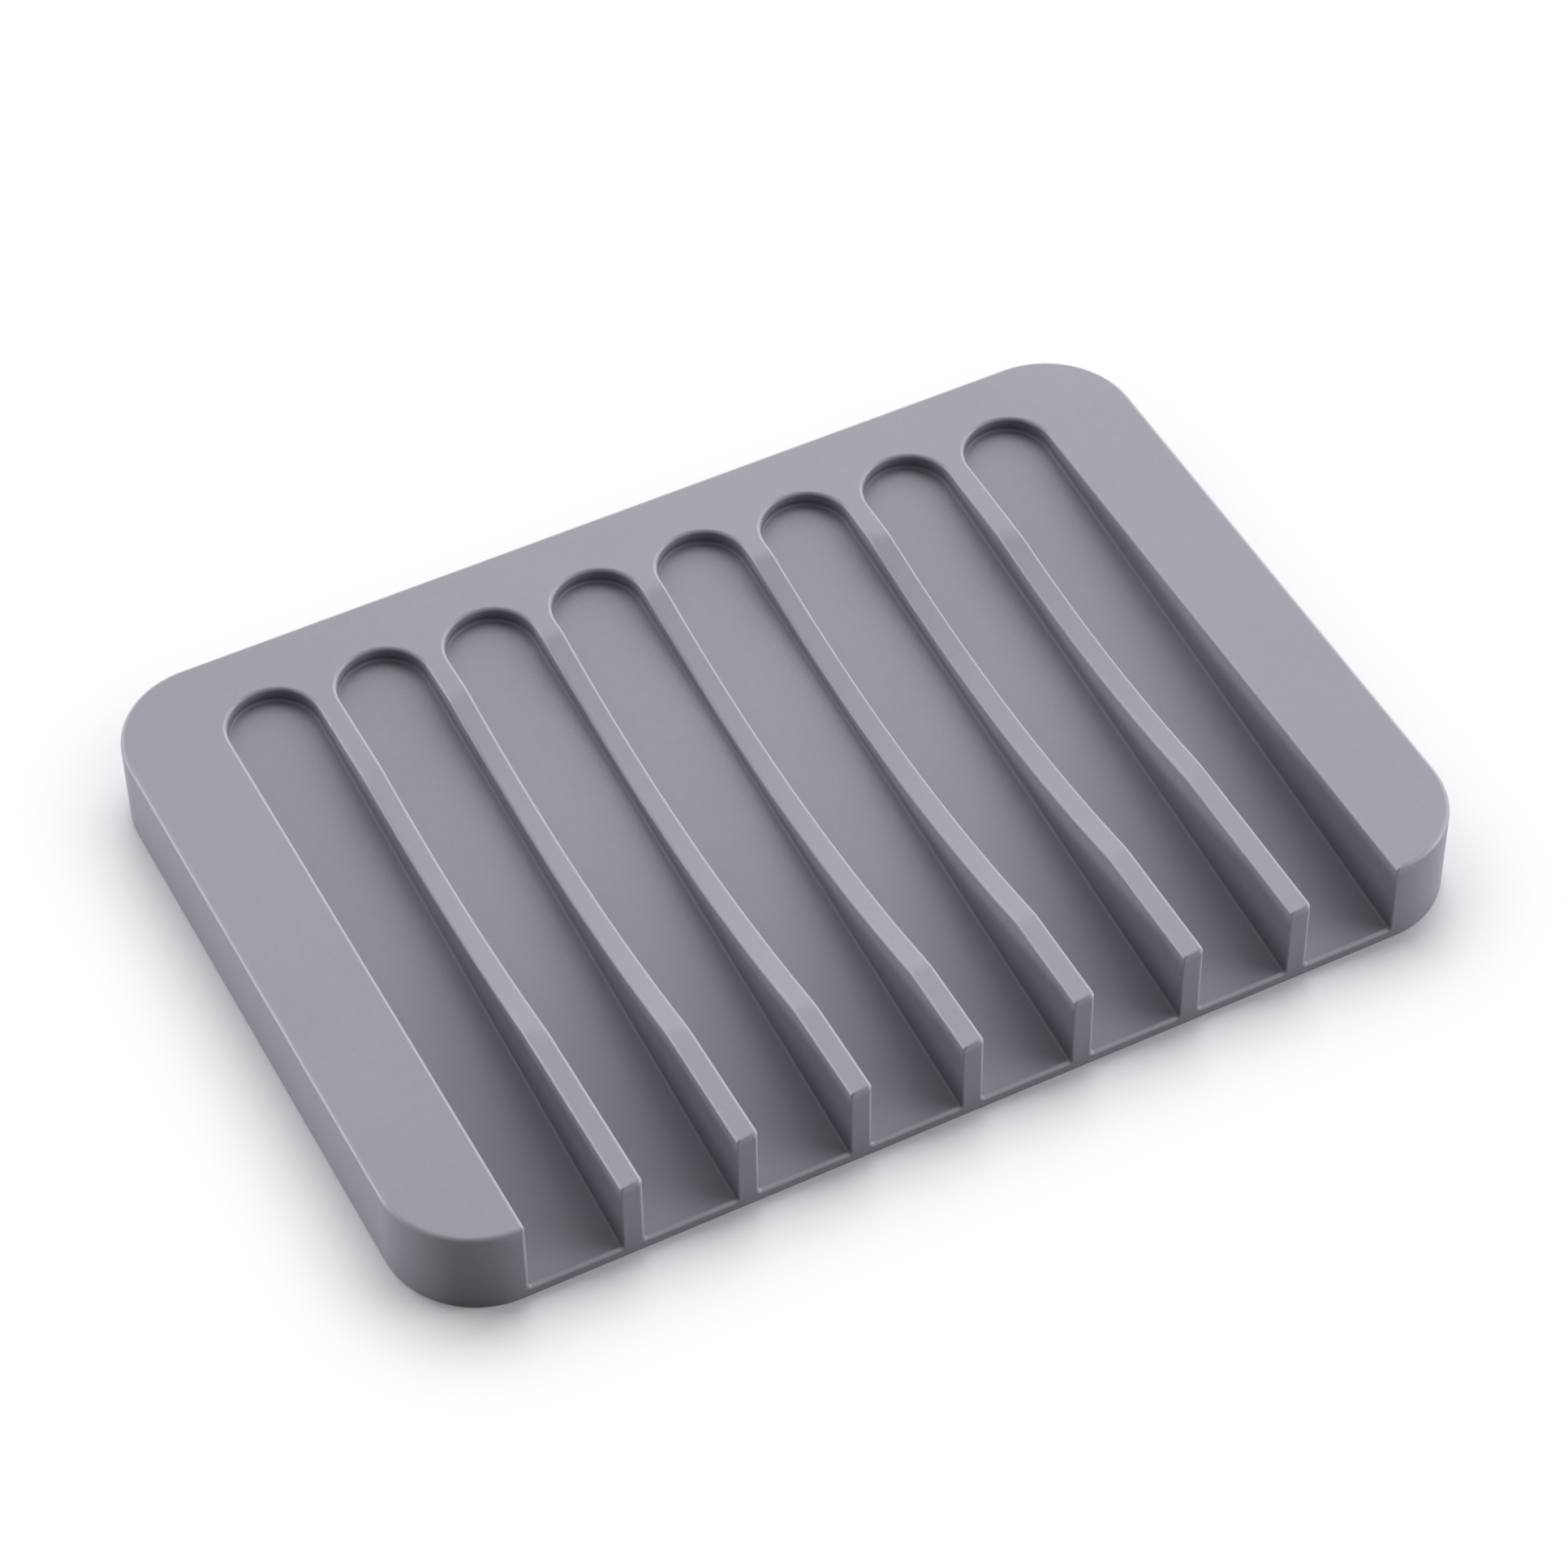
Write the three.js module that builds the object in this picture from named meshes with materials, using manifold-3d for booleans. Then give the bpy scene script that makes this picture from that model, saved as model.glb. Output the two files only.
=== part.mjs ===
// Soap dish with sloping drain channels, in moulded silicone.
// Millimetres, +Z up. Seen from its open drain edge, X runs from left to right along the dish and Y runs
// from that front edge to the rear. The origin is the middle of the underside.
// The dish is one moulding. Its regions are separate solids here, and they meet face to face: a base with
// a sloping top, the rims on three sides of it, and the ribs between the channels.

import * as THREE from "three";
import { mergeVertices } from "three/addons/utils/BufferGeometryUtils.js";
import Module from "manifold-3d";

const wasm = await Module();
wasm.setup();

// The whole dish
const LENGTH = 115;
const WIDTH = 80.5;
const HEIGHT = 10.3;
const CORNER_RADIUS = 9.8;

// The rounding of the edges: round the top, round the underside, and along the channels and ribs
const TOP_EDGE_RADIUS = 0.7;
const UNDERSIDE_EDGE_RADIUS = 0.2;
const CHANNEL_EDGE_RADIUS = 0.4;

// The rims
const SIDE_RIM_WIDTH = 10.45;
const REAR_RIM_WIDTH = 6.5;

// The ribs
const RIB_COUNT = 7;
const RIB_WIDTH = 2.35;

// The floor of the channels: its height at the front edge, and its depth below the rim at the rear ends
const FLOOR_FRONT_HEIGHT = 1.35;
const CHANNEL_REAR_DEPTH = 1.6;

// The scoop in the rib tops that holds the soap, and how far its middle lies forward of the dish's middle
const SCOOP_LENGTH = 95;
const SCOOP_WIDTH = 57.6;
const SCOOP_DEPTH = 3.1;
const SCOOP_FORWARD = 0.7;

// How finely curves and rounded edges are divided, and how far a cutting block reaches past the dish
const CURVE_STEPS = 8;
const EDGE_STEPS = 3;
const CUT_MARGIN = 5;

// Places that follow from those sizes
const FRONT = -WIDTH / 2;
const REAR = WIDTH / 2;
const RIGHT = LENGTH / 2;
const CHANNEL_COUNT = RIB_COUNT + 1;
const FIELD_WIDTH = LENGTH - 2 * SIDE_RIM_WIDTH;
const CHANNEL_WIDTH = (FIELD_WIDTH - RIB_COUNT * RIB_WIDTH) / CHANNEL_COUNT;
const PITCH = CHANNEL_WIDTH + RIB_WIDTH;
const CHANNEL_END = REAR - REAR_RIM_WIDTH;
const RIB_END = CHANNEL_END - CHANNEL_WIDTH / 2;
const FLOOR_REAR_HEIGHT = HEIGHT - CHANNEL_REAR_DEPTH;
const FLOOR_SLOPE = (FLOOR_REAR_HEIGHT - FLOOR_FRONT_HEIGHT) / (CHANNEL_END - FRONT);

const floorHeight = (y) => FLOOR_FRONT_HEIGHT + FLOOR_SLOPE * (y - FRONT);
const ribMiddle = (rib) => (rib - (RIB_COUNT + 1) / 2) * PITCH;
const channelMiddle = (channel) => (channel - (CHANNEL_COUNT + 1) / 2) * PITCH;

const silicone = new THREE.MeshStandardMaterial({ color: 0xa2a2ac, roughness: 0.55, metalness: 0 });

// A closed geometry as a solid that can be cut, and back again
function toSolid(geometry) {
  geometry.deleteAttribute("normal");
  geometry.deleteAttribute("uv");
  const merged = mergeVertices(geometry);
  const vertProperties = merged.attributes.position.array;
  const triVerts = Uint32Array.from(merged.index.array);
  return new wasm.Manifold(new wasm.Mesh({ numProp: 3, vertProperties, triVerts }));
}

function toGeometry(solid) {
  const { vertProperties, triVerts } = solid.getMesh();
  const geometry = new THREE.BufferGeometry();
  geometry.setAttribute("position", new THREE.BufferAttribute(vertProperties, 3));
  geometry.setIndex(new THREE.BufferAttribute(triVerts, 1));
  geometry.computeVertexNormals();
  return geometry;
}

// A shape extruded by a depth, in all, with the edges of both end faces rounded by a radius
function roundedExtrusion(shape, depth, radius) {
  const geometry = new THREE.ExtrudeGeometry(shape, {
    depth: depth - 2 * radius,
    curveSegments: CURVE_STEPS,
    bevelThickness: radius,
    bevelSize: radius,
    bevelOffset: -radius,
    bevelSegments: EDGE_STEPS,
  });
  return geometry.translate(0, 0, radius);
}

// Turns a shape drawn in side view, Y to the right and Z up, and extruded, to run along +X
function turnAlongX(geometry) {
  const x = new THREE.Vector3(1, 0, 0);
  const y = new THREE.Vector3(0, 1, 0);
  const z = new THREE.Vector3(0, 0, 1);
  return geometry.applyMatrix4(new THREE.Matrix4().makeBasis(y, z, x));
}

// A cutting block between two opposite corners
function block(low, high) {
  const size = high.clone().sub(low);
  const middle = low.clone().add(high).divideScalar(2);
  const geometry = new THREE.BoxGeometry(size.x, size.y, size.z);
  return toSolid(geometry.translate(middle.x, middle.y, middle.z));
}

// A cutting wedge between a level height and the slope of the channel floor
function floorWedge(levelHeight) {
  const low = FRONT - CUT_MARGIN;
  const high = REAR + CUT_MARGIN;
  const side = new THREE.Shape([
    new THREE.Vector2(low, levelHeight),
    new THREE.Vector2(high, levelHeight),
    new THREE.Vector2(high, floorHeight(high)),
    new THREE.Vector2(low, floorHeight(low)),
  ]);
  const depth = LENGTH + 2 * CUT_MARGIN;
  const geometry = new THREE.ExtrudeGeometry(side, { depth, bevelEnabled: false });
  return toSolid(turnAlongX(geometry).translate(-depth / 2, 0, 0));
}

// The dish's outline as seen from above
function dishPlan() {
  const corner = CORNER_RADIUS;
  const quarter = Math.PI / 2;
  const plan = new THREE.Shape();
  plan.moveTo(-RIGHT + corner, FRONT);
  plan.lineTo(RIGHT - corner, FRONT);
  plan.absarc(RIGHT - corner, FRONT + corner, corner, -quarter, 0);
  plan.lineTo(RIGHT, REAR - corner);
  plan.absarc(RIGHT - corner, REAR - corner, corner, 0, quarter);
  plan.lineTo(-RIGHT + corner, REAR);
  plan.absarc(-RIGHT + corner, REAR - corner, corner, quarter, 2 * quarter);
  plan.lineTo(-RIGHT, FRONT + corner);
  plan.absarc(-RIGHT + corner, FRONT + corner, corner, 2 * quarter, 3 * quarter);
  return plan;
}

// A plate wider than the dish, with the channels as slots that are open at the front and round at the rear
function channelPlan() {
  const left = -RIGHT - CUT_MARGIN;
  const front = FRONT - CUT_MARGIN;
  const rear = REAR + CUT_MARGIN;
  const radius = CHANNEL_WIDTH / 2;
  const plan = new THREE.Shape();
  plan.moveTo(left, front);
  for (let channel = 1; channel <= CHANNEL_COUNT; channel += 1) {
    const middle = channelMiddle(channel);
    plan.lineTo(middle - radius, front);
    plan.lineTo(middle - radius, RIB_END);
    plan.absarc(middle, RIB_END, radius, Math.PI, 0, true);
    plan.lineTo(middle + radius, front);
  }
  plan.lineTo(-left, front);
  plan.lineTo(-left, rear);
  plan.lineTo(left, rear);
  return plan;
}

// A rib in side view. The scoop is a paraboloid, so each rib's dip is a parabola, shallower and shorter
// on the outer ribs, and a rib that lies outside the scoop stays level.
function ribSide(middle) {
  const below = -CUT_MARGIN;
  const past = RIB_END + CUT_MARGIN;
  const share = 1 - (middle / (SCOOP_LENGTH / 2)) ** 2;
  const side = new THREE.Shape();
  side.moveTo(past, below);
  side.lineTo(past, HEIGHT);
  if (share > 0) {
    const reach = (SCOOP_WIDTH / 2) * Math.sqrt(share);
    side.lineTo(reach - SCOOP_FORWARD, HEIGHT);
    side.quadraticCurveTo(-SCOOP_FORWARD, HEIGHT - 2 * SCOOP_DEPTH * share, -reach - SCOOP_FORWARD, HEIGHT);
  }
  side.lineTo(FRONT, HEIGHT);
  side.lineTo(FRONT, below);
  return side;
}

// The dish before its channels are cut: what two extrusions have in common, one that reaches below the
// underside and has the rounding of the top, and one that reaches above the top and has that of the underside
function dishBlock() {
  const depth = HEIGHT + CUT_MARGIN;
  const upper = roundedExtrusion(dishPlan(), depth, TOP_EDGE_RADIUS).translate(0, 0, -CUT_MARGIN);
  const lower = roundedExtrusion(dishPlan(), depth, UNDERSIDE_EDGE_RADIUS);
  return toSolid(upper).intersect(toSolid(lower));
}

const dish = dishBlock();
const plate = toSolid(roundedExtrusion(channelPlan(), HEIGHT, CHANNEL_EDGE_RADIUS));
const belowFloor = floorWedge(-CUT_MARGIN);
const aboveFloor = floorWedge(HEIGHT + CUT_MARGIN);

function drainBase() {
  return dish.intersect(belowFloor);
}

// A rim is what the channels leave of the dish above the floor, in one rectangle of the plan
function rim(left, front, right, rear) {
  const low = new THREE.Vector3(left, front, -CUT_MARGIN);
  const high = new THREE.Vector3(right, rear, HEIGHT + CUT_MARGIN);
  return dish.intersect(plate).intersect(aboveFloor).intersect(block(low, high));
}

function leftRim() {
  return rim(-RIGHT - CUT_MARGIN, FRONT - CUT_MARGIN, -FIELD_WIDTH / 2, RIB_END);
}

function rightRim() {
  return rim(FIELD_WIDTH / 2, FRONT - CUT_MARGIN, RIGHT + CUT_MARGIN, RIB_END);
}

function rearRim() {
  return rim(-RIGHT - CUT_MARGIN, RIB_END, RIGHT + CUT_MARGIN, REAR + CUT_MARGIN);
}

function drainRib(rib) {
  const middle = ribMiddle(rib);
  const blade = turnAlongX(roundedExtrusion(ribSide(middle), RIB_WIDTH, CHANNEL_EDGE_RADIUS));
  const solid = toSolid(blade.translate(middle - RIB_WIDTH / 2, 0, 0));
  const low = new THREE.Vector3(-RIGHT, FRONT - CUT_MARGIN, -CUT_MARGIN);
  const high = new THREE.Vector3(RIGHT, RIB_END, HEIGHT + CUT_MARGIN);
  return solid.intersect(aboveFloor).intersect(block(low, high));
}

const soapDish = new THREE.Group();

function addRegion(name, solid) {
  const mesh = new THREE.Mesh(toGeometry(solid), silicone);
  mesh.name = name;
  soapDish.add(mesh);
}

addRegion("drain_base", drainBase());
addRegion("left_rim", leftRim());
addRegion("right_rim", rightRim());
addRegion("rear_rim", rearRim());
for (let rib = 1; rib <= RIB_COUNT; rib += 1) {
  addRegion(`drain_rib_${rib}`, drainRib(rib));
}

export default soapDish;
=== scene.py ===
# %% [markdown]
# # A silicone soap dish, dressed around its CAD frame
# The dish is one soft moulding. Its base slopes down to an open front edge, a raised rim closes the other
# three sides, and seven ribs hold the soap above eight drain channels. The imported CAD model gives the sizes
# and places, so it is loaded first and nothing has to be fitted afterwards. The finished looks may not be
# larger than the model that they dress.

# %% Load the frame
import math

import bpy
import numpy as np
from mathutils import Matrix, Vector


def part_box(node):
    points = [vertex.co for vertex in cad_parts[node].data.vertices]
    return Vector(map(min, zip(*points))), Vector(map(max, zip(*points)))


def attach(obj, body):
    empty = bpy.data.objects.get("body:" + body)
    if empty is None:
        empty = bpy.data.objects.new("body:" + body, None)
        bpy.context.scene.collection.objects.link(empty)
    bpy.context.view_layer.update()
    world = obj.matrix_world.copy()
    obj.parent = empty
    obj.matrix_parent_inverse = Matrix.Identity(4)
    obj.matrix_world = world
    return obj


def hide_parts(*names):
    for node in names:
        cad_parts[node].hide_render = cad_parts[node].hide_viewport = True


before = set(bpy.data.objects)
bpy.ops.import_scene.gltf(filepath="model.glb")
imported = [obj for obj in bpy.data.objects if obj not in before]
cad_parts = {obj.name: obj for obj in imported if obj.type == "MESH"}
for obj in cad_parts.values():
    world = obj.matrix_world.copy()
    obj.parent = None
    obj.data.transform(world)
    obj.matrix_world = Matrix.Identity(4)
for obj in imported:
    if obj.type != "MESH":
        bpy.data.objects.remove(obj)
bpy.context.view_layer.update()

print("CAD nodes:", ", ".join(sorted(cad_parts)))

# %% [markdown]
# ## Sizes
# Almost every size of the dish is a side of some node's box: where the channel walls stand, how high the
# rim is, how steeply the floor falls. Reading them from the frame means that the looks follow the CAD model
# when it changes. The frame holds 32-bit numbers, so a size is rounded to the micron before it is used.

# %% Sizes from the frame
MM = 0.001
MICRON_DIGITS = 6


def box_of(node):
    """Lowest and highest corner of a CAD node in metres, to the micron."""
    low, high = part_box(node)
    return [round(side, MICRON_DIGITS) for side in low], [round(side, MICRON_DIGITS) for side in high]


base_low, base_high = box_of("drain_base")
LEFT, FRONT, BOTTOM = base_low
RIGHT, REAR = base_high[:2]

rim_low, rim_high = box_of("left_rim")
FIELD_LEFT, SEAM_Y, TOP = rim_high
FIELD_RIGHT = box_of("right_rim")[0][0]

FLOOR_FRONT = rim_low[2]
FLOOR_AT_SEAM = box_of("rear_rim")[0][2]
FLOOR_SLOPE = (FLOOR_AT_SEAM - FLOOR_FRONT) / (SEAM_Y - FRONT)

print(f"Dish {(RIGHT - LEFT) / MM:.1f} x {(REAR - FRONT) / MM:.1f} x {(TOP - BOTTOM) / MM:.1f} mm")
floor_degrees = math.degrees(math.atan(FLOOR_SLOPE))
print(f"Floor {FLOOR_FRONT / MM:.2f} mm high in front, rising {floor_degrees:.1f} degrees")

# %% [markdown]
# The ribs share the space between the side rims into channels. A channel is known by the places of its left
# and right wall, which are the sides of the ribs' boxes.

# %% Ribs and channels
RIB_NODES = sorted(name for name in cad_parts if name.startswith("drain_rib"))
RIB_WALLS = []
for rib_node in RIB_NODES:
    rib_low, rib_high = box_of(rib_node)
    RIB_WALLS.append((rib_low[0], rib_high[0]))

channel_left_walls = [FIELD_LEFT] + [right for left, right in RIB_WALLS]
channel_right_walls = [left for left, right in RIB_WALLS] + [FIELD_RIGHT]
CHANNELS = list(zip(channel_left_walls, channel_right_walls))

channel_width = CHANNELS[0][1] - CHANNELS[0][0]
print(len(RIB_NODES), "ribs,", len(CHANNELS), "channels", f"{channel_width / MM:.2f} mm wide")

# %% [markdown]
# A box says nothing about roundness, so the radii are named here: the corners as seen from above, the edges
# of the channels and ribs, the edge round the top, the crisp one round the underside, and the fillet at the
# foot of the channel walls, where a milling cutter rounds the tool. At the open front the walls end in
# upright edges, and the photograph shows these soft on walls that face right and crisp on walls that face
# left. The nose is the rounded upper corner of a rib's front face. The pieces meet at a seam, a little above
# the fillets. The scoop that the soap lies in is a shallow bowl cut into the rib tops.

# %% Radii and the soap scoop
CORNER_RADIUS = 9.8 * MM
EDGE = 0.4 * MM
TOP_EDGE = 0.5 * MM
UNDERSIDE_EDGE = 0.2 * MM
SOFT_FRONT = 0.5 * MM
CRISP_FRONT = 0.2 * MM
RIB_NOSE = 0.45 * MM
FLOOR_FILLET = 0.3 * MM
SEAM_RISE = 0.4 * MM

SCOOP_LENGTH = 95 * MM
SCOOP_WIDTH = 57.6 * MM
SCOOP_DEPTH = 3.1 * MM
SCOOP_FORWARD = 0.7 * MM
SCOOP_BLEND = 0.04

RIGHTWARD = np.array((1.0, 0.0, 0.0))
REARWARD = np.array((0.0, 1.0, 0.0))
UP = np.array((0.0, 0.0, 1.0))


def unit(vector):
    return vector / np.linalg.norm(vector)


FLOOR_NORMAL = unit(UP - FLOOR_SLOPE * REARWARD)


def floor_height(y):
    return FLOOR_FRONT + FLOOR_SLOPE * (y - FRONT)


def seam_height(y):
    """Where the base ends and the rims and ribs begin: just above the fillet at the foot of the walls."""
    return floor_height(y) + SEAM_RISE


print(f"Seam {seam_height(FRONT) / MM:.2f} mm high in front and {seam_height(REAR) / MM:.2f} mm at the rear")

# %% [markdown]
# The scoop could be cut with a boolean, but then its edge on each rib would be a hard crease. As a formula
# it gives a height and an exact normal at every place. Where the bowl meets the level tops, a short
# parabola blends the two, as the polished mould does.

# %% Height of the rib tops
def rib_top(x, y):
    """Height of the rib tops at a place, and the normal there."""
    across = x / (SCOOP_LENGTH / 2)
    along = (y + SCOOP_FORWARD) / (SCOOP_WIDTH / 2)
    inside = 1 - across ** 2 - along ** 2
    if inside >= SCOOP_BLEND:
        dip = inside
        steepness = 1.0
    else:
        reach = max(inside + SCOOP_BLEND, 0.0)
        dip = reach ** 2 / (4 * SCOOP_BLEND)
        steepness = reach / (2 * SCOOP_BLEND)
    slope_x = 4 * SCOOP_DEPTH * steepness * across / SCOOP_LENGTH
    slope_y = 4 * SCOOP_DEPTH * steepness * along / SCOOP_WIDTH
    return TOP - SCOOP_DEPTH * dip, unit(np.array((-slope_x, -slope_y, 1.0)))


deepest, _ = rib_top(0, -SCOOP_FORWARD)
print(f"Scoop {(TOP - deepest) / MM:.2f} mm deep in the middle")

# %% [markdown]
# ## Skins
# A bevel modifier on the CAD meshes would round their edges, but it trips over facets and shades flat faces
# with bent normals. This dish is simple enough to describe exactly instead. A skin gathers faces, and every
# corner of a face comes with its true normal, so a flat stays flat, a rounding turns smoothly, and two
# pieces that meet at a seam shade as one moulding. A corner also carries a number for painted light, which
# is 0 on a plain flat, rises to 1 or more on the crest of a rounded edge, where a highlight is painted, and
# falls towards -1 in the hollows at the feet of the walls, where shade is painted. Corners at the same place
# become one vertex, and a skin counts the edges that don't have two faces: a closed piece has none.

# %% Gather faces into a closed skin
MERGE = 1e-7


class Skin:
    """The surface of one piece. A corner is a place, the normal there, and the light painted on it."""

    def __init__(self, name):
        self.name = name
        self.places = []
        self.known = {}
        self.faces = []
        self.normals = []
        self.painted_lights = []

    def vertex(self, place):
        key = tuple(round(value / MERGE) for value in place)
        if key not in self.known:
            self.known[key] = len(self.places)
            self.places.append(tuple(place))
        return self.known[key]

    def face(self, corners):
        """Adds a face, without corners that fall together, facing the way its normals point."""
        loop = []
        for place, normal, painted_light in corners:
            index = self.vertex(place)
            if not loop or index != loop[-1][0]:
                loop.append((index, normal, painted_light))
        if loop[0][0] == loop[-1][0]:
            loop.pop()
        if len(loop) < 3:
            return
        spots = [np.array(self.places[index]) for index, normal, painted_light in loop]
        facing = sum(np.cross(spot - spots[0], after - spots[0]) for spot, after in zip(spots, spots[1:]))
        if np.dot(facing, sum(normal for index, normal, painted_light in loop)) < 0:
            loop.reverse()
        self.faces.append([index for index, normal, painted_light in loop])
        self.normals.extend(normal for index, normal, painted_light in loop)
        self.painted_lights.extend(painted_light for index, normal, painted_light in loop)

    def band(self, rows):
        """Adds the faces between rows of corners."""
        for row, after in zip(rows, rows[1:]):
            for step in range(len(row) - 1):
                self.face([row[step], row[step + 1], after[step + 1], after[step]])

    def flat(self, corners, normal, shaded=False):
        """Adds one flat face through the corners' places. A shaded one keeps their painted light."""
        self.face([(place, normal, painted_light if shaded else 0.0) for place, _, painted_light in corners])

    def open_edges(self):
        met = {}
        for face in self.faces:
            for start, end in zip(face, face[1:] + face[:1]):
                met[(start, end)] = met.get((start, end), 0) + 1
        return sum(1 for (start, end), count in met.items() if count != 1 or met.get((end, start)) != 1)

    def piece(self):
        """The finished object, with exact normals and the highlight and shade painted on its edges and feet.
        """
        mesh = bpy.data.meshes.new(self.name)
        mesh.from_pydata(self.places, [], self.faces, shade_flat=False)
        mesh.update()
        mesh.normals_split_custom_set(self.normals)
        mesh.attributes.new("painted_light", "FLOAT", "CORNER").data.foreach_set("value", self.painted_lights)
        made = bpy.data.objects.new(self.name, mesh)
        bpy.context.scene.collection.objects.link(made)
        print(f"{self.name}: {len(self.faces)} faces, {self.open_edges()} open edges")
        return made


# %% [markdown]
# ## Rounded edges
# Where a long edge runs out to the front face, its rounding shrinks while the front edge's own rounding
# takes over, and together they make something like an eighth of a ball. One angle, the turn, drives that:
# it is 0 behind the front edge and a quarter turn on the front face, and every surface draws back a little
# further as it grows. A station is a place along a wall with the turn there. One station lies half way along
# the dish, because the painted shade of the channel floors begins there.

# %% Turns and stations
ROUND_STEPS = 6
END_STEPS = 32
CORNER_STEPS = 24
RIB_STEPS = 120
SHADE_END = 0.0

TURNS = [math.pi / 2 * step / ROUND_STEPS for step in range(ROUND_STEPS + 1)]


def painted_highlight_at(angle):
    """The painted highlight across a quarter round: 1 in its middle and 0 at both its ends."""
    return math.sin(2 * angle)


def drawn_back(radius, turn):
    return radius * (1 - math.cos(turn))


def turned_forward(normal, turn):
    return unit(math.cos(turn) * normal - math.sin(turn) * REARWARD)


def toward(angle):
    """The level direction at that angle, counted from +X towards +Y."""
    return np.array((math.cos(angle), math.sin(angle), 0.0))


def front_stations(radius):
    """Stations round a front edge of that radius."""
    return [(FRONT + radius * (1 - math.sin(turn)), turn) for turn in TURNS]


def wall_stations(radius):
    """Stations along a level wall, from the seam with the rear rim to the front face."""
    return [(SEAM_Y, 0.0), (SHADE_END, 0.0)] + front_stations(radius)


rib_run = FRONT + SOFT_FRONT - SEAM_Y
RIB_STATIONS = [(SEAM_Y + rib_run * step / RIB_STEPS, 0.0) for step in range(RIB_STEPS)]

print(len(wall_stations(EDGE)), "stations along a level wall,", len(RIB_STATIONS + TURNS), "along a rib")

# %% [markdown]
# Three cross-sections make the whole dish. The first goes up a channel wall from the seam and over its
# rounded top edge; the ribs, the rims and the half-round ends of the channels all use it. The second goes
# up the outside of a rim, and the third is the foot of a channel wall with its fillet down to the floor.
# The lower half of a wall also gets some of the painted shade of the hollows, most in the deep front half of
# a channel and at the half-round ends, where the walls face the front. The edge of the lip, which is thin
# and lies just above white paper, gets the strongest painted highlight of all.

# %% Sections through the walls
# Painted shade at the feet of the walls, in the fillets, at the channel ends and on the front half of the
# floors
FOOT_SHADE = 0.26
FRONT_FOOT_SHADE = 0.93
HOLLOW_SHADE = 0.34
FRONT_HOLLOW_SHADE = 0.95
FRONT_FLOOR_SHADE = 0.42
END_SHADE = 0.93
SHADED_SHARE = 0.5
HOLLOW_FULLNESS = 0.7
# Painted highlight on the lip's edge, stronger than on the other edges
LIP_PAINTED_HIGHLIGHT = 1.8


def front_share(y):
    """1 at the front of a channel, falling to 0 where the painted shade of its floor ends."""
    return max(0.0, (SHADE_END - y) / (SHADE_END - FRONT))


def foot_shade(y, inward):
    """The painted shade of a wall at the seam."""
    along = FOOT_SHADE + (FRONT_FOOT_SHADE - FOOT_SHADE) * front_share(y)
    return max(along, END_SHADE * inward[1])


def hollow_shade(y, share):
    """The painted shade a share of the way down a fillet: a narrow dip that gets fuller towards the front."""
    front = front_share(y)
    dip = abs(math.sin(math.pi * share)) ** (1 - HOLLOW_FULLNESS * front)
    return dip * (HOLLOW_SHADE + (FRONT_HOLLOW_SHADE - HOLLOW_SHADE) * front)


def wall_section(x, y, inward, turn, front_edge, top, top_normal, nose=0.0):
    """
    Corners up a channel wall and over its top edge. Inward points from the channel into the material, and
    the nose is the radius that the top edge keeps on the front face.
    """
    back = drawn_back(front_edge, turn)
    facing = turned_forward(-inward, turn)
    foot = np.array((x, y, seam_height(y))) + back * inward
    radius = max(EDGE - back, EDGE + (nose - EDGE) * math.sin(turn))
    fall = drawn_back(CRISP_FRONT, turn)
    centre = np.array((x, y, top - fall - radius)) + (back + radius) * inward
    half = foot + SHADED_SHARE * (centre[2] - foot[2]) * UP
    # Painted shade low on the wall, and a painted highlight over its rounded top edge
    corners = [(foot, facing, painted_highlight_at(turn) - foot_shade(y, inward) * math.cos(turn))]
    corners.append((half, facing, painted_highlight_at(turn) - SHADED_SHARE * END_SHADE * max(inward[1], 0.0)))
    for angle in TURNS:
        place = centre + radius * (math.sin(angle) * UP - math.cos(angle) * inward)
        normal = math.sin(angle) * top_normal - math.cos(angle) * inward
        corners.append((place, turned_forward(normal, turn), max(painted_highlight_at(angle), painted_highlight_at(turn))))
    return corners


def outer_section(x, y, outward):
    """Corners up the outside of a rim, from the seam, and over its top edge."""
    corners = [(np.array((x, y, seam_height(y))), outward, 0.0)]
    centre = np.array((x, y, TOP - TOP_EDGE)) - TOP_EDGE * outward
    for angle in TURNS:
        normal = math.cos(angle) * outward + math.sin(angle) * UP
        # A painted highlight over the rounded top edge
        corners.append((centre + TOP_EDGE * normal, normal, painted_highlight_at(angle)))
    return corners


print("A section up the outside has", len(outer_section(LEFT, SEAM_Y, -RIGHTWARD)), "corners")

# %% [markdown]
# The foot's fillet is a rolling ball that touches the wall and the floor. The floor slopes, so at the round
# end of a channel the ball turns through less than a right angle. Its normals swing from the wall's to the
# floor's on the shortest way. At the front the wall and the lip of the floor have edges of different radii,
# and down the fillet the one becomes the other.

# %% Sections through the base
def swing(start, end, share):
    """The unit vector a share of the way from one unit vector to another."""
    angle = math.acos(float(np.dot(start, end)))
    return (math.sin((1 - share) * angle) * start + math.sin(share * angle) * end) / math.sin(angle)


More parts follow.
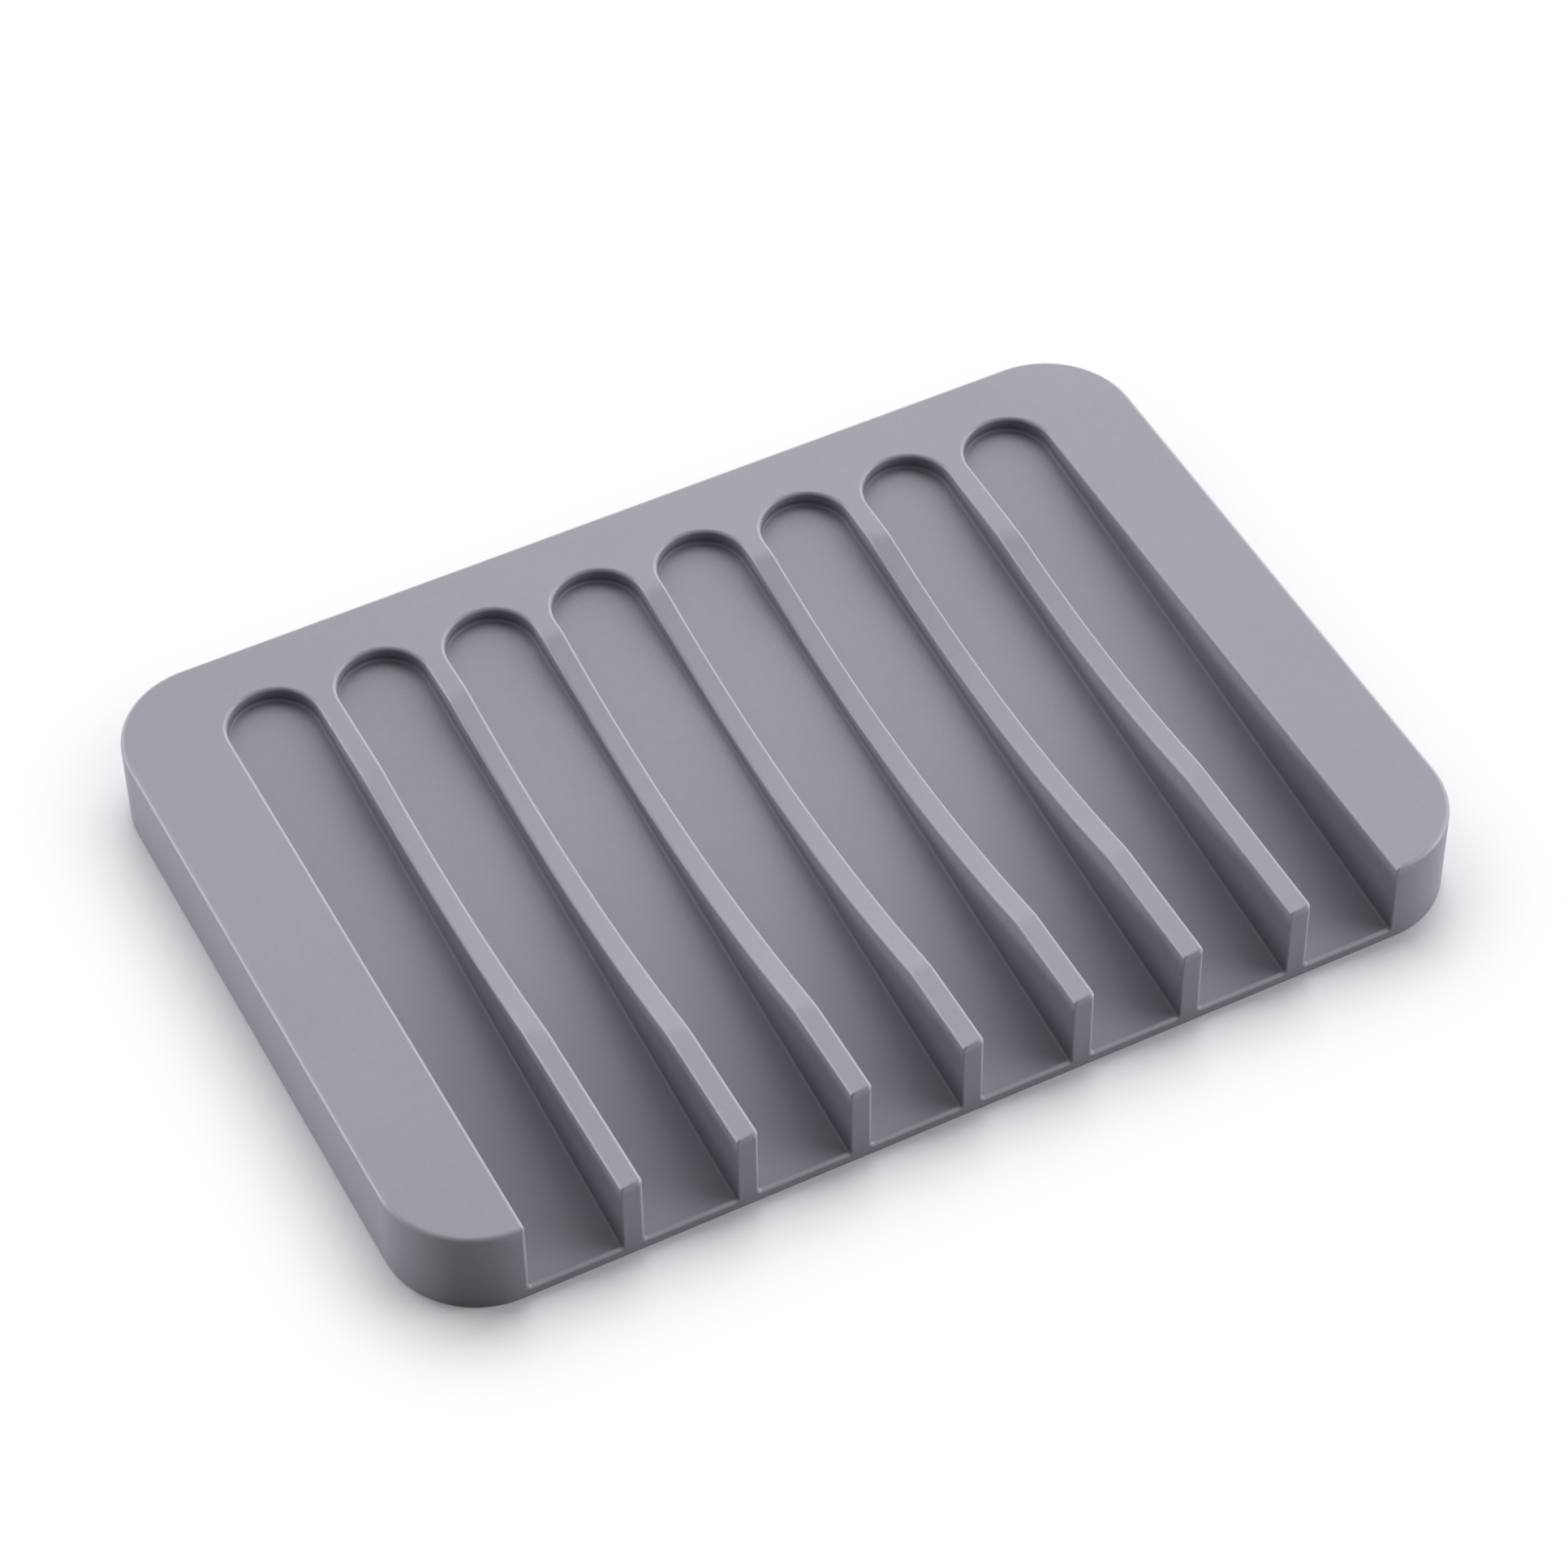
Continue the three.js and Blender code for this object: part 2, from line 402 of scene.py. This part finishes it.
def foot_section(x, y, inward, turn=0.0, front_edge=EDGE, floor_y=None):
    """Corners down the foot of a channel wall, from the seam, and round its fillet onto the floor."""
    floor_shift = 0.0 if floor_y is None else floor_y - y
    # Painted shade at the foot of the wall, down the fillet and onto the floor
    wall_shade = foot_shade(y, inward)
    wall = np.array((x, y, seam_height(y))) + drawn_back(front_edge, turn) * inward
    corners = [(wall, turned_forward(-inward, turn), painted_highlight_at(turn) - wall_shade * math.cos(turn))]
    slope = FLOOR_SLOPE * inward[1]
    lift = FLOOR_FILLET * (math.hypot(1, slope) - slope)
    for step in range(ROUND_STEPS + 1):
        share = step / ROUND_STEPS
        angle = share * (math.pi / 2 - math.atan(slope))
        spot_y = y + share * floor_shift
        centre = np.array((x, spot_y, floor_height(spot_y) + lift)) - FLOOR_FILLET * inward
        radius = FLOOR_FILLET + drawn_back(front_edge + share * (EDGE - front_edge), turn)
        place = centre + radius * (math.cos(angle) * inward - math.sin(angle) * UP)
        normal = -swing(inward, -FLOOR_NORMAL, share)
        flat_shade = wall_shade + share * (FRONT_FLOOR_SHADE * front_share(spot_y) - wall_shade)
        painted_shade = max(flat_shade, hollow_shade(spot_y, share))
        # Painted highlight on the front edge, growing towards the lip
        painted_highlight_amount = painted_highlight_at(turn) * (1 + share * (LIP_PAINTED_HIGHLIGHT - 1))
        corners.append((place, turned_forward(normal, turn), painted_highlight_amount - painted_shade * math.cos(turn)))
    return corners


def underside_section(x, y, outward):
    """Corners from the underside, round its edge and up the outside to the seam."""
    corners = []
    centre = np.array((x, y, BOTTOM + UNDERSIDE_EDGE)) - UNDERSIDE_EDGE * outward
    for angle in reversed(TURNS):
        normal = math.cos(angle) * outward - math.sin(angle) * UP
        corners.append((centre + UNDERSIDE_EDGE * normal, normal, 0.0))
    corners.append((np.array((x, y, seam_height(y))), outward, 0.0))
    return corners


print("A foot section has", len(foot_section(FIELD_LEFT, SEAM_Y, -RIGHTWARD)), "corners")

# %% [markdown]
# ## Outline
# Seen from above the dish is a rectangle with four round corners. Its outline starts at the left of the
# open front, where the corner's arc touches the front line, and runs round the rear to the right.

# %% Outline from above
def corner_arc(x, y, start, end):
    """Places on a round corner with their outward direction."""
    spots = []
    for step in range(CORNER_STEPS + 1):
        outward = toward(start + (end - start) * step / CORNER_STEPS)
        spots.append((x + CORNER_RADIUS * outward[0], y + CORNER_RADIUS * outward[1], outward))
    return spots


QUARTER = math.pi / 2
corner_left = LEFT + CORNER_RADIUS
corner_right = RIGHT - CORNER_RADIUS
corner_front = FRONT + CORNER_RADIUS
corner_rear = REAR - CORNER_RADIUS

left_seam_spot = (LEFT, SEAM_Y, -RIGHTWARD)
right_seam_spot = (RIGHT, SEAM_Y, RIGHTWARD)

LEFT_PATH = corner_arc(corner_left, corner_front, 3 * QUARTER, 2 * QUARTER) + [left_seam_spot]
RIGHT_PATH = [right_seam_spot] + corner_arc(corner_right, corner_front, 0.0, -QUARTER)
REAR_PATH = (
    [left_seam_spot]
    + corner_arc(corner_left, corner_rear, 2 * QUARTER, QUARTER)
    + corner_arc(corner_right, corner_rear, QUARTER, 0.0)
    + [right_seam_spot]
)

front_flat = FIELD_LEFT - SOFT_FRONT - corner_left
print(f"Outline of {len(LEFT_PATH) + len(REAR_PATH) + len(RIGHT_PATH) - 2} places,", end=" ")
print(f"{front_flat / MM:.3f} mm of flat rim front beside the channels")

# %% [markdown]
# ## Ribs
# Each rib is a blade between two channels. Its two side walls are rows of wall sections, a strip closes the
# top between them, and the rows are close together because the scoop bends the top. On the real dish the
# outermost ribs lie so far out that the scoop barely touches them, and the formula gives that by itself.

# %% Scooped ribs
def rib_side(x, inward, front_edge):
    rows = []
    for y, turn in RIB_STATIONS + front_stations(front_edge):
        top, top_normal = rib_top(x + EDGE * inward[0], y)
        rows.append(wall_section(x, y, inward, turn, front_edge, top, top_normal, RIB_NOSE))
    return rows


def make_rib(number, left, right):
    skin = Skin(f"scooped_rib_{number}")
    left_rows = rib_side(left, RIGHTWARD, CRISP_FRONT)
    right_rows = rib_side(right, -RIGHTWARD, SOFT_FRONT)
    skin.band(left_rows)
    skin.band(right_rows)
    skin.band([[one[-1], other[-1]] for one, other in zip(left_rows, right_rows)])
    foot_rows = [[one[0], other[0]] for one, other in zip(left_rows, right_rows)]
    for row, after in zip(foot_rows, foot_rows[1:]):
        skin.flat(row + after[::-1], -FLOOR_NORMAL)
    skin.flat(left_rows[-1] + right_rows[-1][::-1], -REARWARD)
    skin.flat(left_rows[0] + right_rows[0][::-1], REARWARD)
    return skin.piece()


ribs = [make_rib(number, left, right) for number, (left, right) in enumerate(RIB_WALLS, start=1)]

# %% [markdown]
# ## Rims
# The left and right rims are plain bands with one round corner at the front. The outside is a row of outer
# sections along the outline, the inside is the wall of the outermost channel, and a flat top joins them. At
# the front a narrow strip is left between the corner and the channel's edge, and over its width the edge of
# the outline becomes that of the channel.

# %% Side rims
def make_side_rim(name, path, wall_x, inward, front_edge):
    """A side rim. The path runs along its outside from the front to the seam."""
    skin = Skin(name)
    outer = [outer_section(*spot) for spot in path]
    stations = wall_stations(front_edge)
    inner = [wall_section(wall_x, y, inward, turn, front_edge, TOP, UP) for y, turn in stations]
    level = [row for row, (y, turn) in zip(inner, stations) if turn == 0]
    rounded = inner[-len(TURNS):]
    skin.band(outer)
    skin.band(inner)
    skin.band([outer[0][1:], [row[-1] for row in rounded[::-1]]])
    skin.flat(outer[0][:2] + inner[-1][::-1], -REARWARD)
    skin.flat([row[-1] for row in outer + level], UP)
    skin.flat([row[0] for row in outer + inner], -FLOOR_NORMAL)
    skin.flat(outer[-1] + inner[0][::-1], REARWARD)
    return skin.piece()


left_band = make_side_rim("left_band", LEFT_PATH, FIELD_LEFT, -RIGHTWARD, SOFT_FRONT)
right_band = make_side_rim("right_band", RIGHT_PATH[::-1], FIELD_RIGHT, RIGHTWARD, CRISP_FRONT)

# %% [markdown]
# The rear rim holds the half-round ends of the channels, as a row of thumb-nail cuts. A wall section swept
# round each half circle makes them, and one flat face with eight bays makes the top.

# %% Rear rim
def channel_end(left, right):
    """Wall places round the rear end of a channel, from its left wall to its right, with their direction."""
    middle = (left + right) / 2
    radius = (right - left) / 2
    spots = []
    for step in range(END_STEPS + 1):
        inward = toward(math.pi * (1 - step / END_STEPS))
        spots.append((middle + radius * inward[0], SEAM_Y + radius * inward[1], inward))
    return spots


def make_rear_rim():
    skin = Skin("rear_band")
    outer = [outer_section(*spot) for spot in REAR_PATH]
    bays = []
    for left, right in CHANNELS:
        bays.append([wall_section(*spot, 0.0, EDGE, TOP, UP) for spot in channel_end(left, right)])
    skin.band(outer)
    for bay in bays:
        skin.band(bay)
    around = outer + [row for bay in bays[::-1] for row in bay[::-1]]
    skin.flat([row[-1] for row in around], UP)
    skin.flat([row[0] for row in around], -FLOOR_NORMAL)
    left_sides = [outer[0]] + [bay[-1] for bay in bays]
    right_sides = [bay[0] for bay in bays] + [outer[-1]]
    for one, other in zip(left_sides, right_sides):
        skin.flat(one + other[::-1], -REARWARD)
    return skin.piece()


rear_band = make_rear_rim()

# %% [markdown]
# ## Base
# The base carries everything: the flat underside with its rounded edge, the sloping floors of the channels
# with the fillets at the feet of their walls, and the thin lip at the open front. A channel is walked from
# its front left, round its rear end, to its front right, and the foot sections on the way give the fillet,
# the outline of the floor and the outline of the lip.

# %% Sloping base
def straight_foot(x, inward, front_edge):
    """Foot sections along a straight wall, from the seam to the front."""
    stations = zip(wall_stations(front_edge), wall_stations(EDGE))
    return [foot_section(x, y, inward, turn, front_edge, floor_y) for (y, turn), (floor_y, _) in stations]


def foot_rows(left, right):
    rows = straight_foot(left, -RIGHTWARD, SOFT_FRONT)[::-1]
    rows += [foot_section(*spot) for spot in channel_end(left, right)[1:-1]]
    rows += straight_foot(right, RIGHTWARD, CRISP_FRONT)
    return rows


def seam_places(rows):
    return [row[0] for row in rows]


def make_base():
    skin = Skin("sloping_base")
    outside = [underside_section(*spot) for spot in LEFT_PATH + REAR_PATH[1:] + RIGHT_PATH[1:]]
    skin.band(outside)
    skin.band([outside[-1][:-1], outside[0][:-1]])
    skin.flat([row[0] for row in outside], -UP)

    straight = len(wall_stations(EDGE))
    channels = [foot_rows(left, right) for left, right in CHANNELS]
    lip = []
    for rows in channels:
        skin.band(rows)
        floor_rim = [row[-1] for row in rows[ROUND_STEPS:-ROUND_STEPS]]
        skin.flat(floor_rim[1:-1], FLOOR_NORMAL)
        # The front half of the floor keeps its painted shade
        skin.flat(floor_rim[:2] + floor_rim[-2:], FLOOR_NORMAL, shaded=True)
        skin.band([[rows[step][-1], rows[-1 - step][-1]] for step in range(ROUND_STEPS + 1)])
        lip += rows[0] + rows[-1][::-1]
    skin.flat(lip + outside[-1][:-3:-1] + outside[0][-2:], -REARWARD)

    for one, other in zip(channels, channels[1:]):
        skin.flat(seam_places(one[-straight:]) + seam_places(other[:straight]), FLOOR_NORMAL)
    seam_outside = [row[-1] for row in outside]
    rear_start = len(LEFT_PATH) - 1
    rear_end = rear_start + len(REAR_PATH)
    left_inside = seam_places(channels[0][:straight][::-1])
    right_inside = seam_places(channels[-1][-straight:][::-1])
    skin.flat(seam_outside[:rear_start + 1] + left_inside, FLOOR_NORMAL)
    skin.flat(seam_outside[rear_end - 1:] + right_inside, FLOOR_NORMAL)
    bays = []
    for rows in channels[::-1]:
        bays += seam_places(rows[straight - 1:len(rows) - straight + 1][::-1])
    skin.flat(seam_outside[rear_start:rear_end] + bays, FLOOR_NORMAL)
    return skin.piece()


sloping_base = make_base()

# %% [markdown]
# ## Shader arithmetic
# A finish is easier to read as a formula than as a page of node links. This class wraps one output socket,
# and adding or multiplying sockets adds the Math nodes that do it. Every other node comes from one method:
# its settings are set first, because they decide which sockets it has, and then its sockets are linked or
# given a value.

# %% Sockets as values
class Wire:
    """An output socket of a node tree that can be used in sums and products."""

    def __init__(self, tree, socket=None):
        self.tree = tree
        self.socket = socket

    def node(self, kind, settings=None, sockets=None, output=0):
        made = self.tree.nodes.new(kind)
        for name, value in (settings or {}).items():
            setattr(made, name, value)
        for name, value in (sockets or {}).items():
            if isinstance(value, Wire):
                self.tree.links.new(value.socket, made.inputs[name])
            else:
                made.inputs[name].default_value = value
        return Wire(self.tree, made.outputs[output] if made.outputs else None)

    def math(self, operation, first, second):
        return self.node("ShaderNodeMath", {"operation": operation}, {0: first, 1: second})

    def __add__(self, other):
        return self.math("ADD", self, other)

    def __radd__(self, other):
        return self.math("ADD", other, self)

    def __sub__(self, other):
        return self.math("SUBTRACT", self, other)

    def __rsub__(self, other):
        return self.math("SUBTRACT", other, self)

    def __mul__(self, other):
        return self.math("MULTIPLY", self, other)

    def __rmul__(self, other):
        return self.math("MULTIPLY", other, self)

    def mix(self, dark, light):
        """A colour between two, with this value as the share of the second."""
        return self.node("ShaderNodeMix", {"data_type": "RGBA"}, {0: self, 6: dark, 7: light}, output=2)

    def ramp(self, low, high, kind="LINEAR"):
        """0 below low, 1 above high, and a ramp of that kind between."""
        settings = {"interpolation_type": kind, "clamp": True}
        return self.node("ShaderNodeMapRange", settings, {"Value": self, "From Min": low, "From Max": high})


def empty_tree(owner):
    """The owner's node tree with nothing in it, as a wire to add nodes from."""
    owner.use_nodes = True
    owner.node_tree.nodes.clear()
    return Wire(owner.node_tree)


# %% [markdown]
# ## Silicone
# The dish is satin grey silicone with a slight violet cast. It has no print or grain, but it isn't a single
# flat colour either: the pigment clouds a little over a few centimetres, and the blasted mould leaves a very
# fine tooth that breaks up reflections. The edges are smoother than the flats and get a painted highlight,
# and the feet of the walls get painted shade. Noise in the object's own coordinates gives the first two
# without any unwrapping, and because every piece has its origin in the same place, the pattern runs on
# across the seams. The numbers on the skins' corners give the painted highlight and shade.
# Silicone also lets some light through, so the front faces are paler just below their top edges. Real
# scattering inside the material would show that too, but slowly and with noise. A ramp over the last
# millimetre of height, on the front faces only, is enough.

# %% Satin grey silicone
SILICONE_DARK = (0.281, 0.276, 0.327, 1.0)
SILICONE_LIGHT = (0.321, 0.316, 0.37, 1.0)
# Painted highlight on the rounded edges
PAINTED_HIGHLIGHT_COLOUR = (0.54, 0.535, 0.59, 1.0)
# Painted shade at the feet of the walls
PAINTED_SHADE_COLOUR = (0.12, 0.118, 0.142, 1.0)
# How far the painted highlight and the painted shade go towards their colours
PAINTED_LIGHT_SHARE = 0.9
FULL_PAINTED_HIGHLIGHT = 1.5
GLOW = 0.46
GLOW_HEIGHT = 1.0 * MM
GLOW_DEPTH = 0.3 * MM

CLOUD_SIZE = 28 * MM
FLECK_SIZE = 1.6 * MM
TOOTH_SIZE = 0.22 * MM
TOOTH_DEPTH = 0.02 * MM
SATIN_ROUGHNESS = 0.5
EDGE_POLISH = 0.22
SILICONE_IOR = 1.42


def noise(start, place, size, detail):
    """Cloudy noise whose features are about that size, in metres."""
    sockets = {"Vector": place, "Scale": 1 / size, "Detail": detail, "Roughness": 0.55}
    return start.node("ShaderNodeTexNoise", {"noise_dimensions": "3D"}, sockets)


def make_silicone():
    material = bpy.data.materials.new("satin_grey_silicone")
    start = empty_tree(material)
    place = start.node("ShaderNodeTexCoord", output="Object")
    # The painted highlight and painted shade carried by the skins' corners
    painted_light = start.node("ShaderNodeAttribute", {"attribute_name": "painted_light"}, output="Fac")

    clouds = noise(start, place, CLOUD_SIZE, 2.0)
    flecks = noise(start, place, FLECK_SIZE, 3.0)
    tooth = noise(start, place, TOOTH_SIZE, 2.0)

    height = start.node("ShaderNodeSeparateXYZ", sockets={"Vector": place}, output="Z")
    depth = start.node("ShaderNodeSeparateXYZ", sockets={"Vector": place}, output="Y")
    # Painted light: the front faces paler just below their top edges
    glow = height.ramp(TOP - GLOW_HEIGHT, TOP) * depth.ramp(FRONT + GLOW_DEPTH, FRONT)

    # Painted highlight on the crests of rounded edges, together with the painted light below the front top
    # edges
    edge = start.math("MAXIMUM", painted_light.ramp(0.0, FULL_PAINTED_HIGHLIGHT), glow * GLOW)
    # Painted shade in the hollows at the feet of the walls
    painted_shade = painted_light.ramp(0.0, -1.0)

    pigment = (clouds * 0.55 + flecks * 0.2 + tooth * 0.25).ramp(0.3, 0.7, "SMOOTHSTEP")
    flat_colour = pigment.mix(SILICONE_DARK, SILICONE_LIGHT)
    colour_with_painted_shade = (painted_shade * PAINTED_LIGHT_SHARE).mix(flat_colour, PAINTED_SHADE_COLOUR)
    colour = (edge * PAINTED_LIGHT_SHARE).mix(colour_with_painted_shade, PAINTED_HIGHLIGHT_COLOUR)
    roughness = SATIN_ROUGHNESS + (clouds - 0.5) * 0.12 + (flecks - 0.5) * 0.1 - edge * EDGE_POLISH

    relief = start.node(
        "ShaderNodeBump",
        sockets={"Strength": 0.6, "Distance": TOOTH_DEPTH, "Height": flecks * 0.4 + tooth * 0.6},
    )
    surface = start.node(
        "ShaderNodeBsdfPrincipled",
        sockets={
            "Base Color": colour,
            "Roughness": roughness,
            "IOR": SILICONE_IOR,
            "Sheen Weight": 0.04,
            "Sheen Roughness": 0.5,
            "Normal": relief,
        },
    )
    start.node("ShaderNodeOutputMaterial", sockets={"Surface": surface})
    print(material.name, "has", len(material.node_tree.nodes), "nodes")
    return material


silicone = make_silicone()

# %% [markdown]
# ## Dressing the frame
# Each piece now stands for the CAD node of its region. The node is hidden, but it stays in the simulation
# for its mass and its contacts. The dish has no joint, so everything rides on its one body.

# %% Put the pieces in the nodes' places
DRESSED = {"drain_base": sloping_base, "left_rim": left_band, "right_rim": right_band, "rear_rim": rear_band}
DRESSED.update(zip(RIB_NODES, ribs))

for node_name, piece in DRESSED.items():
    piece.data.materials.append(silicone)
    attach(piece, "root")
    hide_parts(node_name)
print(len(DRESSED), "pieces in place")

# %% [markdown]
# ## Floor
# The dish lies on white paper. Close to the dish the paper is an ordinary pale matt surface, so the shadow
# on it is real. In the photograph that shadow ends within a finger's breadth on every side, and beyond it
# the paper is plain white. So the finish fades to white by the distance from the dish's outline, but only
# for rays that come from the camera or from a reflection: light that bounces off the paper isn't changed.
# At the left and right the photograph's shadow is fainter than in front, so there the fade starts a little
# inside the outline, and a small share of white is kept everywhere.

# %% White paper floor
FLOOR_SIZE = 6.0
PAPER_SEEN = (0.92, 0.93, 0.97, 1.0)
PAPER_LIT = (0.5, 0.5, 0.5, 1.0)
WHITE = (1.0, 1.0, 1.0, 1.0)
FADE_START = 0.5 * MM
FADE_END = 14 * MM
FADE_INSET = 1.3 * MM
FADE_LEAST = 0.05


def seen_directly(start):
    """1 for rays from the camera, a reflection or a transmission, and 0 for light that bounces."""
    camera = start.node("ShaderNodeLightPath", output="Is Camera Ray")
    glossy = start.node("ShaderNodeLightPath", output="Is Glossy Ray")
    transmission = start.node("ShaderNodeLightPath", output="Is Transmission Ray")
    return start.math("MAXIMUM", start.math("MAXIMUM", camera, glossy), transmission)


def outline_distance(start, place):
    """How far a place on the floor lies outside the dish's outline, with the dish made a little shorter."""
    corner_middle = (RIGHT - FADE_INSET - CORNER_RADIUS, REAR - CORNER_RADIUS, 0.0)
    folded = start.node("ShaderNodeVectorMath", {"operation": "ABSOLUTE"}, {0: place})
    past = start.node("ShaderNodeVectorMath", {"operation": "SUBTRACT"}, {0: folded, 1: corner_middle})
    outside = start.node("ShaderNodeVectorMath", {"operation": "MAXIMUM"}, {0: past, 1: (0.0, 0.0, 0.0)})
    length = start.node("ShaderNodeVectorMath", {"operation": "LENGTH"}, {0: outside}, output="Value")
    return length - CORNER_RADIUS


def make_paper():
    material = bpy.data.materials.new("white_paper")
    start = empty_tree(material)
    place = start.node("ShaderNodeTexCoord", output="Object")
    seen = seen_directly(start)
    paper = start.node("ShaderNodeBsdfDiffuse", sockets={"Color": seen.mix(PAPER_LIT, PAPER_SEEN)})
    white = start.node("ShaderNodeEmission", sockets={"Color": WHITE, "Strength": 1.0})
    fade = outline_distance(start, place).ramp(FADE_START, FADE_END)
    shade = 1 - start.math("MAXIMUM", fade, FADE_LEAST)
    clear = (1 - shade * shade) * seen
    surface = start.node("ShaderNodeMixShader", sockets={0: clear, 1: paper, 2: white})
    start.node("ShaderNodeOutputMaterial", sockets={"Surface": surface})
    return material


def make_floor():
    half = FLOOR_SIZE / 2
    mesh = bpy.data.meshes.new("paper_floor")
    mesh.from_pydata(
        [(-half, -half, BOTTOM), (half, -half, BOTTOM), (half, half, BOTTOM), (-half, half, BOTTOM)],
        [],
        [(0, 1, 2, 3)],
    )
    mesh.materials.append(make_paper())
    made = bpy.data.objects.new("paper_floor", mesh)
    bpy.context.scene.collection.objects.link(made)
    return made


floor = make_floor()
print("Floor", FLOOR_SIZE, "m square")

# %% [markdown]
# ## Light
# The shading tells where the light stood: the left sides of the ribs and the round ends of the channels are
# dark, the right edges shine, and the front faces are dim. So large soft lights stand at the right rear and
# the rear, a weaker one at the left rear, and a small one at the right front. The outer left wall is bright
# although the walls in the channels that face the same way are dark, so its light comes in low, just over
# the table, where the rim and the ribs keep it out of the channels. Another low one lights the right-hand
# front corner and the upright edges. The strength of each lamp is a share of a plain level: at 1 a matt
# white card that faces the lamp renders as white. The lamps stand at a slant to the top of the dish, and
# there their shares come to about that level, so a colour renders about as it is written.

# %% Softboxes
AIM = Vector((0.0, 0.0, TOP))
LAMP_DISTANCE = 1.8


def softbox(name, azimuth, elevation, size, share):
    """A square lamp that faces the dish. Azimuth counts in degrees from +X towards +Y."""
    swing_angle = math.radians(azimuth)
    lift_angle = math.radians(elevation)
    direction = Vector((
        math.cos(swing_angle) * math.cos(lift_angle),
        math.sin(swing_angle) * math.cos(lift_angle),
        math.sin(lift_angle),
    ))
    lamp = bpy.data.lights.new(name, "AREA")
    lamp.shape = "SQUARE"
    lamp.size = size
    lamp.energy = share * (math.pi * LAMP_DISTANCE) ** 2
    made = bpy.data.objects.new(name, lamp)
    made.location = AIM + LAMP_DISTANCE * direction
    made.rotation_euler = (-direction).to_track_quat("-Z", "Y").to_euler()
    bpy.context.scene.collection.objects.link(made)
    print(f"{name}: {lamp.energy:.1f} W")


# Azimuth and elevation in degrees, size in metres, and the share of the plain level
SOFTBOXES = {
    "right_rear_light": (45, 30, 1.8, 0.46),
    "high_right_rear_light": (45, 45, 1.5, 0.4),
    "rear_light": (90, 45, 1.5, 0.26),
    "left_rear_light": (135, 30, 1.8, 0.38),
    "right_front_light": (330, 25, 1.0, 0.34),
    "low_right_light": (340, 8, 0.5, 0.27),
    "low_left_light": (145, 4, 0.28, 0.37),
}
for lamp_name, placing in SOFTBOXES.items():
    softbox(lamp_name, *placing)

# %% [markdown]
# The lamps alone light the dish. The world behind the floor gives no light, and a ray that sees it finds the
# same plain white as on the paper. The Standard view shows colours as they are, without the curve of a film.

# %% White world
WORLD_LEVEL = 0.0


def make_world():
    world = bpy.data.worlds.new("studio")
    start = empty_tree(world)
    dim = start.node("ShaderNodeBackground", sockets={"Color": WHITE, "Strength": WORLD_LEVEL})
    white = start.node("ShaderNodeBackground", sockets={"Color": WHITE, "Strength": 1.0})
    surface = start.node("ShaderNodeMixShader", sockets={0: seen_directly(start), 1: dim, 2: white})
    start.node("ShaderNodeOutputWorld", sockets={"Surface": surface})
    return world


bpy.context.scene.world = make_world()
bpy.context.scene.view_settings.view_transform = "Standard"
print("World level", WORLD_LEVEL)

# %% [markdown]
# ## Camera
# The photograph was taken with a long lens from the left of the open front edge, looking down at about half
# a right angle, with the camera tilted a little. These angles, the distance and the lens were found by
# fitting a camera to the straight edges of the dish.

# %% Camera at the photograph's angle
VIEW_AZIMUTH = math.radians(-26.753)
VIEW_ELEVATION = math.radians(47.759)
VIEW_ROLL = math.radians(-0.787)
VIEW_DISTANCE = 507.5 * MM
VIEW_CENTRE = Vector((1.41, 1.94, 5.15)) * MM
LENS_MM = 115.82
SENSOR_MM = 36.0
CLIP_START = 10 * MM


def make_camera():
    back = Vector((
        math.sin(VIEW_AZIMUTH) * math.cos(VIEW_ELEVATION),
        -math.cos(VIEW_AZIMUTH) * math.cos(VIEW_ELEVATION),
        math.sin(VIEW_ELEVATION),
    ))
    level_right = Vector((math.cos(VIEW_AZIMUTH), math.sin(VIEW_AZIMUTH), 0.0))
    level_up = back.cross(level_right)
    right = math.cos(VIEW_ROLL) * level_right + math.sin(VIEW_ROLL) * level_up
    up = back.cross(right)
    lens = bpy.data.cameras.new("photo_camera")
    lens.lens = LENS_MM
    lens.sensor_width = SENSOR_MM
    lens.clip_start = CLIP_START
    made = bpy.data.objects.new("photo_camera", lens)
    made.matrix_world = Matrix.Translation(VIEW_CENTRE + VIEW_DISTANCE * back) @ Matrix(
        (right, up, back)
    ).transposed().to_4x4()
    bpy.context.scene.collection.objects.link(made)
    return made


camera = make_camera()
bpy.context.scene.camera = camera
print("Camera at", [round(value / MM, 1) for value in camera.matrix_world.translation], "mm")
